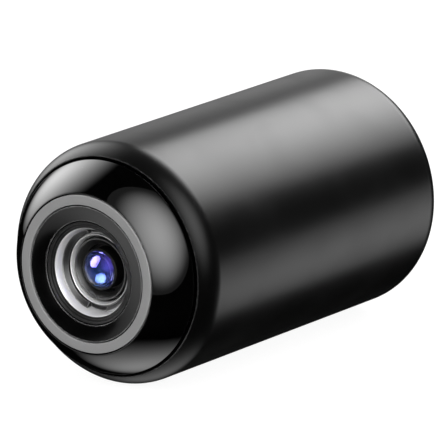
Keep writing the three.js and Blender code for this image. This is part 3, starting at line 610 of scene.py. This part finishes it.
PITCH, CONTACT, CONTACTS = 0.5, 0.26, 12
row_start = middle - (CONTACTS - 1) * PITCH / 2 - CONTACT / 2
for side, x in (("left", -TONGUE_THICK / 2 - 0.02), ("right", TONGUE_THICK / 2 - 0.03)):
    row = contacts(f"usb_contacts_{side}", (x, row_start, low.z + 0.5), (0.05, CONTACT, 2.6),
                   PITCH, CONTACTS)
    placed(row, "camera", "flex_gold")
print("inlet:", len(shell.data.polygons), "faces, and", CONTACTS, "contacts on each side")

# %% [markdown]
# The memory card is a thin plate with rounded corners. A finger ridge is joined on near its outer
# end, a locking notch is cut in one edge, and eight gold contacts lie at its inner end.

# %% Model the card
CARD_ROUND, RIDGE_INSET, RIDGE_HEIGHT, NOTCH_DEEP = 0.7, 1.2, 0.12, 0.7
PAD_SIZE, PAD_PITCH, PADS = (0.05, 0.7, 2.9), 1.1, 8

low, high = corners("memory_card")
card = bar("card_body", low, high, round_axis="X", corner=CARD_ROUND, segments=5)
ridge = bar("ridge", (low.x - RIDGE_HEIGHT, low.y + RIDGE_INSET, low.z + 0.5),
            (low.x + 0.2, high.y - RIDGE_INSET, low.z + 1.1))
combine(card, ridge, "UNION")
notch = bar("notch", (low.x - 1, high.y - NOTCH_DEEP, high.z - 6.5),
            (high.x + 1, high.y + 1, high.z - 5.1))
combine(card, notch)
bevelled(card, 0.08)
placed(card, "memory_card", "card_black", "memory_card")
row = contacts("card_contacts", (high.x - 0.03, low.y + RIDGE_INSET, high.z - 3.6), PAD_SIZE,
               PAD_PITCH, PADS)
placed(row, "memory_card", "flex_gold")
print("card:", len(card.data.polygons), "faces and", PADS, "contacts")

# %% [markdown]
# ## Shared effects
# Four effects come back in many finishes: fine grain, lathe marks, handling marks and worn edges.
# The mask of worn edges also lays a painted highlight along the edges of the case and the hood.
# Each is a node group that gives only masks and heights, and each material sets its own values.
# A small helper lays out nodes and links, so that a group reads from left to right.

# %% Node helpers
def node_in(tree, kind, inputs=(), **settings):
    """A node with its settings and with its inputs set or, where a socket is given, linked."""
    node = tree.nodes.new(kind)
    for key, value in settings.items():
        setattr(node, key, value)
    for key, value in dict(inputs).items():
        if isinstance(value, bpy.types.NodeSocket):
            tree.links.new(value, node.inputs[key])
        else:
            node.inputs[key].default_value = value
    return node


def new_group(name, inputs, outputs):
    """A shader node group with float sockets, and the nodes for its two ends."""
    tree = bpy.data.node_groups.new(name, "ShaderNodeTree")
    for socket, value in inputs.items():
        item = tree.interface.new_socket(name=socket, in_out="INPUT", socket_type="NodeSocketFloat")
        item.default_value = value
    for socket in outputs:
        tree.interface.new_socket(name=socket, in_out="OUTPUT", socket_type="NodeSocketFloat")
    return tree, tree.nodes.new("NodeGroupInput").outputs, tree.nodes.new("NodeGroupOutput").inputs


def maths(tree, operation, first, second):
    """The output of a Math node on two numbers or sockets."""
    return node_in(tree, "ShaderNodeMath", {0: first, 1: second}, operation=operation).outputs[0]


print("helpers ready for nodes, groups and maths")

# %% [markdown]
# Moulded plastic and blasted metal carry a fine random grain. Two noises of different size are
# added: the fine one alone looks like dust, and the coarse one alone looks like hammered metal.

# %% Grain
COARSER = 0.22

grain, given, result = new_group("fine_grain", {"Scale": 7000, "Coarse Share": 0.4}, ["Height"])
place = node_in(grain, "ShaderNodeTexCoord").outputs["Object"]
fine = node_in(grain, "ShaderNodeTexNoise", {"Vector": place, "Scale": given["Scale"], "Detail": 3})
coarse_scale = maths(grain, "MULTIPLY", given["Scale"], COARSER)
coarse = node_in(grain, "ShaderNodeTexNoise", {"Vector": place, "Scale": coarse_scale, "Detail": 2})
blend = node_in(grain, "ShaderNodeMix", {"Factor": given["Coarse Share"], "A": fine.outputs["Fac"],
                                         "B": coarse.outputs["Fac"]})
grain.links.new(blend.outputs["Result"], result["Height"])
print("grain:", len(grain.nodes), "nodes")

# %% [markdown]
# A turned face shows rings from the tool, which only depend on the distance from the axis, and a
# turned tube shows them along its length. The noise is read at radius and depth, so each line runs
# right round the piece.

# %% Lathe marks
marks, given, result = new_group("lathe_marks", {"Scale": 9000, "Waver": 0.15}, ["Height"])
place = node_in(marks, "ShaderNodeTexCoord").outputs["Object"]
parts = node_in(marks, "ShaderNodeSeparateXYZ", {"Vector": place}).outputs
flat = node_in(marks, "ShaderNodeCombineXYZ", {"X": parts["X"], "Y": parts["Z"]})
radius = node_in(marks, "ShaderNodeVectorMath", {0: flat.outputs[0]}, operation="LENGTH")
waver = maths(marks, "MULTIPLY", parts["X"], given["Waver"])
line = node_in(marks, "ShaderNodeCombineXYZ", {"X": radius.outputs["Value"], "Y": parts["Y"],
                                               "Z": waver})
rings = node_in(marks, "ShaderNodeTexNoise", {"Vector": line.outputs[0], "Scale": given["Scale"],
                                              "Detail": 2})
marks.links.new(rings.outputs["Fac"], result["Height"])
print("lathe marks:", len(marks.nodes), "nodes")

# %% [markdown]
# Anything that is handled has faint smudges, which change the gloss in soft patches, and a few
# specks of dust. The smudge is a stretched noise, and the specks are the centres of scattered
# cells of which most are dropped.

# %% Handling marks
DROPPED = 0.93

handled, given, result = new_group("handling_marks", {"Smudge Scale": 160, "Speck Scale": 900,
                                                      "Speck Size": 0.09}, ["Smudge", "Specks"])
place = node_in(handled, "ShaderNodeTexCoord").outputs["Object"]
warp = node_in(handled, "ShaderNodeTexNoise", {"Vector": place, "Scale": given["Smudge Scale"],
                                               "Detail": 4, "Distortion": 0.6})
soft = node_in(handled, "ShaderNodeMapRange", {"Value": warp.outputs["Fac"], "From Min": 0.4,
                                               "From Max": 0.7}, interpolation_type="SMOOTHSTEP")
cells = node_in(handled, "ShaderNodeTexVoronoi", {"Vector": place, "Scale": given["Speck Scale"]})
near = maths(handled, "LESS_THAN", cells.outputs["Distance"], given["Speck Size"])
chance = node_in(handled, "ShaderNodeSeparateColor", {"Color": cells.outputs["Color"]})
kept = maths(handled, "GREATER_THAN", chance.outputs[0], DROPPED)
specks = maths(handled, "MULTIPLY", near, kept)
handled.links.new(soft.outputs["Result"], result["Smudge"])
handled.links.new(specks, result["Specks"])
print("handling marks:", len(handled.nodes), "nodes")

# %% [markdown]
# Edges wear first. The Bevel node gives the normal that a slightly rounder edge would have: where
# it leans away from the true normal there is an edge, and a noise breaks the line up. On the case
# and the hood the same mask carries a painted highlight: a light line that stands in for the glint
# of light on their rounded edges.

# %% Edge wear and painted edge highlight
wear_and_glint_mask, given, result = new_group("edge_wear_and_glint", {"Width": 0.0002, "Breakup Scale": 1500}, ["Mask"])
rounder = node_in(wear_and_glint_mask, "ShaderNodeBevel", {"Radius": given["Width"]}, samples=4)
true_normal = node_in(wear_and_glint_mask, "ShaderNodeNewGeometry").outputs["Normal"]
lean = node_in(wear_and_glint_mask, "ShaderNodeVectorMath", {0: rounder.outputs["Normal"], 1: true_normal},
               operation="DOT_PRODUCT")
edge = node_in(wear_and_glint_mask, "ShaderNodeMapRange", {"Value": lean.outputs["Value"], "From Min": 0.995,
                                            "From Max": 0.9}, interpolation_type="SMOOTHSTEP")
place = node_in(wear_and_glint_mask, "ShaderNodeTexCoord").outputs["Object"]
broken = node_in(wear_and_glint_mask, "ShaderNodeTexNoise", {"Vector": place, "Scale": given["Breakup Scale"]})
mask = maths(wear_and_glint_mask, "MULTIPLY", edge.outputs["Result"], broken.outputs["Fac"])
wear_and_glint_mask.links.new(mask, result["Mask"])
print("edge wear:", len(wear_and_glint_mask.nodes), "nodes")

# %% [markdown]
# ## Finishes
# All finishes share one recipe. A base colour drifts slightly to a second one with the smudges, the
# worn edges and specks are a shade lighter, the roughness follows the smudges, and grain or lathe
# marks give the bump. On the case and the hood the edge colour is far lighter than wear: there it
# is a painted highlight along the edges. What is the same all over a surface is set on the shader
# itself.

# %% The recipe
def group_node(tree, group, **inputs):
    """An effect's group placed in a material, with that material's own values."""
    node = tree.nodes.new("ShaderNodeGroup")
    node.node_tree = group
    for key, value in inputs.items():
        node.inputs[key.replace("_", " ")].default_value = value
    return node


def grey(level):
    """An even grey as a colour with alpha."""
    return (level, level, level, 1)


def colour_mix(tree, factor, first, second):
    """The output of a Mix node that goes from one colour to another with a mask."""
    mix = node_in(tree, "ShaderNodeMix", {"Factor": factor, 6: first, 7: second}, data_type="RGBA")
    return mix.outputs[2]


def finish(name, base, drift, wear_and_glint_colour, rough, texture=grain, scale=7000, bump=0.05, height=0.00002,
           specks=0.09, **shader):
    """A material: base and drift colours, edge colour of wear and painted highlight, lowest and
    highest roughness.
    """
    material = bpy.data.materials.new(name + "_look")
    material.use_nodes = True
    tree = material.node_tree
    surface = tree.nodes["Principled BSDF"]
    touch = group_node(tree, handled, Speck_Size=specks)
    edges = group_node(tree, wear_and_glint_mask)
    body = colour_mix(tree, touch.outputs["Smudge"], base, drift)
    body = colour_mix(tree, edges.outputs["Mask"], body, wear_and_glint_colour)
    body = colour_mix(tree, touch.outputs["Specks"], body, wear_and_glint_colour)
    tree.links.new(body, surface.inputs["Base Color"])
    gloss = node_in(tree, "ShaderNodeMapRange", {"Value": touch.outputs["Smudge"],
                                                 "To Min": rough[0], "To Max": rough[1]})
    tree.links.new(gloss.outputs["Result"], surface.inputs["Roughness"])
    relief = group_node(tree, texture, Scale=scale)
    raised = node_in(tree, "ShaderNodeBump", {"Strength": bump, "Distance": height,
                                              "Height": relief.outputs["Height"]})
    tree.links.new(raised.outputs["Normal"], surface.inputs["Normal"])
    for key, value in shader.items():
        surface.inputs[key.replace("_", " ")].default_value = value
    return material


print("the recipe uses", [group.name for group in (handled, wear_and_glint_mask, grain, marks)])

# %% [markdown]
# The plastics and metals of the outside come first. The case is satin: dark, with a broad soft
# sheen. The bezel is polished to a mirror and the hood a little less, the ring is a matt grey
# print, and the lens metals are plain turned aluminium or the same metal blackened.

# %% Outside finishes
finishes = {
    # On the case and the hood the edge colour is partly wear and partly a painted highlight that
    # draws a thin light line along their rounded edges.
    "case_satin": finish("case_satin", grey(0.002), grey(0.003), grey(0.4), (0.28, 0.31), bump=0.12,
                         specks=0, Specular_IOR_Level=0.2),
    "hood_satin": finish("hood_satin", grey(0.0006), grey(0.001), grey(0.3), (0.16, 0.2), bump=0.05,
                         specks=0),
    "bezel_gloss": finish("bezel_gloss", grey(0.0003), grey(0.0006), grey(0.03), (0.03, 0.05),
                          bump=0.01, scale=2500),
    "trim_grey": finish("trim_grey", grey(0.174), grey(0.162), grey(0.24), (0.55, 0.65),
                        bump=0.1, scale=9000),
    "barrel_black": finish("barrel_black", grey(0.002), grey(0.003), grey(0.05), (0.3, 0.4),
                           texture=marks, bump=0.3, scale=5000, Specular_IOR_Level=0.16),
    "bare_metal": finish("bare_metal", grey(0.7), grey(0.6), grey(0.85), (0.34, 0.42),
                         texture=marks, bump=0.3, scale=6000, Metallic=0.6),
    "dark_metal": finish("dark_metal", grey(0.022), grey(0.012), grey(0.35), (0.3, 0.42),
                         texture=marks, bump=0.35, scale=6000, Metallic=0.5),
    "button_black": finish("button_black", grey(0.014), grey(0.02), grey(0.06), (0.35, 0.42),
                           bump=0.1),
    "cap_matte": finish("cap_matte", grey(0.012), grey(0.018), grey(0.05), (0.5, 0.6), bump=0.3,
                        scale=5000),
    "screw_steel": finish("screw_steel", grey(0.45), grey(0.38), grey(0.7), (0.25, 0.4),
                          texture=marks, bump=0.15, Metallic=1.0),
    "seal_rubber": finish("seal_rubber", grey(0.01), grey(0.016), grey(0.03), (0.75, 0.9),
                          bump=0.3, scale=4000),
    "flex_gold": finish("flex_gold", (0.75, 0.5, 0.16, 1), (0.68, 0.43, 0.13, 1),
                        (0.85, 0.65, 0.3, 1), (0.25, 0.4), bump=0.1, Metallic=1.0),
    "card_black": finish("card_black", grey(0.015), grey(0.022), grey(0.05), (0.45, 0.55),
                         bump=0.2),
    "clear_plastic": finish("clear_plastic", (0.8, 0.84, 0.86, 1), (0.74, 0.78, 0.8, 1), grey(0.9),
                            (0.2, 0.3), bump=0.05, Transmission_Weight=0.6),
}
print("outside finishes:", len(finishes))

# %% [markdown]
# The pieces inside are only seen through an opening or when the camera is taken apart, but each
# still gets its own finish from the same recipe.

# %% Inside finishes
finishes.update({
    "inner_plastic": finish("inner_plastic", grey(0.02), grey(0.028), grey(0.06), (0.5, 0.62),
                            bump=0.2, scale=5000),
    "chip_black": finish("chip_black", grey(0.018), grey(0.026), grey(0.08), (0.45, 0.6), bump=0.25,
                         scale=9000),
    "board_green": finish("board_green", (0.006, 0.06, 0.025, 1), (0.01, 0.085, 0.035, 1),
                          (0.4, 0.35, 0.2, 1), (0.3, 0.42), bump=0.2, scale=3000),
    "shield_tin": finish("shield_tin", grey(0.6), grey(0.52), grey(0.8), (0.3, 0.45), bump=0.15,
                         Metallic=1.0),
    "battery_foil": finish("battery_foil", grey(0.5), grey(0.42), grey(0.65), (0.35, 0.5), bump=0.5,
                           scale=900, height=0.0001, Metallic=0.7),
})
print("all finishes so far:", len(finishes))

# %% [markdown]
# ## Coated glass
# A coating takes the white out of a reflection and leaves blue and violet. The front element is
# clear glass with a violet specular tint. The bowl behind it is a dark mirror whose colour runs
# from dark teal at the lower left, through deep blue, to a brighter violet at the upper right. That
# run
# is a painted reflection colour: it stands in for the shift in colour and brightness that a coating
# shows with the angle of the light and the view.

# %% Glass finishes
GLASS_IOR, COATING_TINT = 1.5, (0.14, 0.1, 0.7, 1)
# Colours of the painted reflection across the bowl, from the lower left to the upper right.
TEAL, DEEP_BLUE = (0.0002, 0.005, 0.011, 1), (0.005, 0.011, 0.045, 1)
VIOLET, BLOOM = (0.013, 0.004, 0.08, 1), (0.006, 0.011, 0.06, 1)
TEAL_END, BLUE_AT, VIOLET_END = -0.0028, 0.45, 0.0026

clear = bpy.data.materials.new("front_coating")
clear.use_nodes = True
surface = clear.node_tree.nodes["Principled BSDF"]
touch = group_node(clear.node_tree, handled, Smudge_Scale=700, Speck_Scale=2500, Speck_Size=0.05)
tint = colour_mix(clear.node_tree, touch.outputs["Smudge"], (0.86, 0.9, 1, 1), (0.8, 0.86, 1, 1))
clear.node_tree.links.new(tint, surface.inputs["Base Color"])
gloss = node_in(clear.node_tree, "ShaderNodeMapRange",
                {"Value": touch.outputs["Smudge"], "To Min": 0.0, "To Max": 0.03})
clear.node_tree.links.new(gloss.outputs["Result"], surface.inputs["Roughness"])
surface.inputs["Transmission Weight"].default_value = 1
surface.inputs["IOR"].default_value = GLASS_IOR
surface.inputs["Specular Tint"].default_value = COATING_TINT

coated = bpy.data.materials.new("inner_coating")
coated.use_nodes = True
tree = coated.node_tree
surface = tree.nodes["Principled BSDF"]
parts = node_in(tree, "ShaderNodeSeparateXYZ",
                {"Vector": node_in(tree, "ShaderNodeTexCoord").outputs["Object"]}).outputs
# Painted reflection colour: the bowl's colour follows its position, darker teal at the lower left
# to brighter violet at the upper right.
lean = maths(tree, "ADD", parts["X"], maths(tree, "MULTIPLY", parts["Z"], 0.8))
across = node_in(tree, "ShaderNodeMapRange",
                 {"Value": lean, "From Min": TEAL_END, "From Max": VIOLET_END})
ramp = node_in(tree, "ShaderNodeValToRGB", {"Fac": across.outputs["Result"]})
ramp.color_ramp.elements[0].color = TEAL
ramp.color_ramp.elements[1].color = VIOLET
ramp.color_ramp.elements.new(BLUE_AT).color = DEEP_BLUE
touch = group_node(tree, handled, Smudge_Scale=900)
bloom = maths(tree, "MULTIPLY", touch.outputs["Smudge"], 0.25)
glow = colour_mix(tree, bloom, ramp.outputs["Color"], BLOOM)
tree.links.new(glow, surface.inputs["Base Color"])
surface.inputs["Metallic"].default_value = 0.6
surface.inputs["Roughness"].default_value = 0.06
surface.inputs["Specular IOR Level"].default_value = 0.1
finishes["coated_glass"] = coated
print("glass finishes:", clear.name, coated.name)

# %% [markdown]
# ## Dressing the pieces
# Every modelled piece wears the finish of its slot, apart from the clear front glass and the hood,
# which have their own. The frame nodes that stay in view or inside keep their meshes, and the plain
# material that each came with, named for its slot, gives way to the full finish of that slot.

# %% Give out the finishes
def dress(piece, material):
    """The piece in this material only."""
    piece.data.materials.clear()
    piece.data.materials.append(material)


for piece in [o for o in bpy.context.scene.objects if o.type == "MESH" and "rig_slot" in o]:
    dress(piece, finishes[piece["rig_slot"]])
dress(glass, clear)
dress(hood, finishes["hood_satin"])
kept_nodes = [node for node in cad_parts.values() if not node.hide_render]
for node in kept_nodes:
    for place in node.material_slots:
        place.material = finishes[place.material.name]
print("frame nodes with a new finish:", len(kept_nodes))

# %% [markdown]
# ## Studio
# The set is a large pale floor in a room that looks white but is almost dark to the object. A
# shiny black object is lit by what it reflects, and a floor or a wall that shone on it would turn
# it grey. So the floor glows softly by itself, and is left out of every reflection and shadow.

# %% Floor and surroundings
FLOOR_Z = -CASE_RADIUS * MM
FLOOR_SIZE, FLOOR_GAP, FLOOR_GLOW, ROOM_GLOW = 12, 0.00002, 0.93, 0.002

start_fresh()
bpy.ops.mesh.primitive_plane_add(size=FLOOR_SIZE, location=(0, 0, FLOOR_Z - FLOOR_GAP))
floor = bpy.context.object
floor.name = "floor"
floor.visible_glossy = False
floor.visible_diffuse = False
floor.visible_transmission = False
floor.visible_shadow = False
paper = bpy.data.materials.new("pale_paper")
paper.use_nodes = True
surface = paper.node_tree.nodes["Principled BSDF"]
fibres = group_node(paper.node_tree, grain, Scale=900)
shade = colour_mix(paper.node_tree, fibres.outputs["Height"], grey(0.1), grey(0.104))
paper.node_tree.links.new(shade, surface.inputs["Base Color"])
surface.inputs["Roughness"].default_value = 1
surface.inputs["Specular IOR Level"].default_value = 0
surface.inputs["Emission Color"].default_value = grey(1)
surface.inputs["Emission Strength"].default_value = FLOOR_GLOW
dress(floor, paper)

world = bpy.data.worlds.new("studio")
bpy.context.scene.world = world
world.use_nodes = True
tree = world.node_tree
tree.nodes.clear()
pale = node_in(tree, "ShaderNodeBackground", {"Color": grey(1), "Strength": 1})
dim = node_in(tree, "ShaderNodeBackground", {"Color": grey(1), "Strength": ROOM_GLOW})
seen = node_in(tree, "ShaderNodeLightPath").outputs["Is Camera Ray"]
both = node_in(tree, "ShaderNodeMixShader", {0: seen, 1: dim.outputs[0], 2: pale.outputs[0]})
node_in(tree, "ShaderNodeOutputWorld", {"Surface": both.outputs[0]})
bpy.context.scene.view_settings.view_transform = "Standard"
print("floor at", round(FLOOR_Z / MM, 1), "mm")

# %% [markdown]
# The light comes from soft boxes. Each stands where a light band is wanted, and dark is left
# between them: one above and behind for the band along the top of the tube, one to the right for
# the bezel, one to the left, and weak ones low down. An area light would do, but a card whose glow
# is a material can be bright in the middle and fade towards its edge, as a real soft box does.
# Light linking lets a box shine on some pieces only. One draws the highlights in the glass. The box
# for the bezel would leave a white edge on the case when it is seen from behind, so it skips the
# case, and a softer one lights the case's rim instead. The two cards that light only a few pieces
# stand nearer than the rest and let light through, so that they hide no other box.

# %% Make the soft boxes
NEAR, FAR = 0.5, 0.7


def soft_box(name, azimuth, elevation, wide, high, strength, edge=0.3, shift=(0, 0), corner=0.3,
             fade=1.2, only=None, without=None):
    """A rounded glowing card that faces the middle of the rear of the case from that direction.

    Azimuth 0 is in front of the lens and 90 to the right, and width and height are angles. The
    glow sinks from its centre, moved by the shift, to the edge's share of the strength at fade
    half-widths. The card lights only the pieces in only, or all but those in without."""
    distance = NEAR if only else FAR
    az, el = math.radians(azimuth), math.radians(elevation)
    towards = Vector((math.sin(az) * math.cos(el), -math.cos(az) * math.cos(el), math.sin(el)))
    start_fresh()
    size = [2 * distance * math.tan(math.radians(angle) / 2) for angle in (wide, high)]
    bpy.ops.mesh.primitive_plane_add(size=1)
    card = bpy.context.object
    card.name = name
    edit(card)
    bpy.ops.transform.resize(value=(size[0], size[1], 1))
    bpy.ops.mesh.bevel(offset=corner * min(size), segments=6, affect="VERTICES")
    bpy.ops.object.mode_set(mode="OBJECT")
    card.matrix_world = (Matrix.Translation(towards * distance)
                         @ towards.to_track_quat("Z", "Y").to_matrix().to_4x4())
    card.visible_camera = False
    card.visible_shadow = False
    light = bpy.data.materials.new(name + "_light")
    light.use_nodes = True
    tree = light.node_tree
    tree.nodes.clear()
    place = node_in(tree, "ShaderNodeTexCoord").outputs["Object"]
    centred = node_in(tree, "ShaderNodeVectorMath", {0: place, 1: (shift[0] * size[0],
                                                                  shift[1] * size[1], 0)},
                      operation="SUBTRACT")
    scaled = node_in(tree, "ShaderNodeVectorMath", {0: centred.outputs[0],
                                                    1: (2 / size[0], 2 / size[1], 1)},
                     operation="MULTIPLY")
    reach = node_in(tree, "ShaderNodeVectorMath", {0: scaled.outputs[0]}, operation="LENGTH")
    level = node_in(tree, "ShaderNodeMapRange", {"Value": reach.outputs["Value"], "From Max": fade,
                                                 "To Min": strength, "To Max": strength * edge},
                    interpolation_type="SMOOTHSTEP")
    glow = node_in(tree, "ShaderNodeEmission", {"Strength": level.outputs["Result"]})
    if only:
        clear_card = node_in(tree, "ShaderNodeBsdfTransparent")
        glow = node_in(tree, "ShaderNodeAddShader", {0: glow.outputs[0], 1: clear_card.outputs[0]})
    node_in(tree, "ShaderNodeOutputMaterial", {"Surface": glow.outputs[0]})
    if only or without:
        chosen = bpy.data.collections.new(name + "_pieces")
        for piece in only or without:
            chosen.objects.link(piece)
        for entry in chosen.collection_objects:
            entry.light_linking.link_state = "INCLUDE" if only else "EXCLUDE"
        card.light_linking.receiver_collection = chosen
    dress(card, light)
    return card


boxes = [
    soft_box("top_box", 177, 38.8, 51, 44, 10.8, edge=0.35),
    soft_box("right_box", 40, 29, 95, 100, 7.6, edge=0.03, shift=(0.04, 0), corner=0.4, fade=0.95,
             without=[case]),
    soft_box("left_box", -95, 31, 80, 76, 6.3, edge=0.0, shift=(0.03, -0.05), corner=0.4,
             fade=1.05),
    soft_box("rear_left_box", -144, 12, 26, 36, 0.8, edge=0.4),
    soft_box("low_right_box", 146, -20, 31, 32, 3.1, edge=0.4),
    soft_box("low_box", -112, -81, 78, 66, 2.1, edge=0.0, corner=0.4, fade=1.1),
    soft_box("low_left_box", -50, -27, 62, 58, 1.1, edge=0.3, corner=0.45),
    soft_box("rim_box", 64, 34, 70, 80, 5.2, edge=0.0, corner=0.4, fade=1.1, only=[case]),
    soft_box("lens_box", -36, 28, 48, 50, 125, edge=0.4, corner=0.4, only=[glass, bowl]),
]
print("soft boxes:", [box.name for box in boxes])

# %% [markdown]
# ## Last update
# The view layer is brought up to date once every piece is placed.

# %% Update the view layer
bpy.context.view_layer.update()
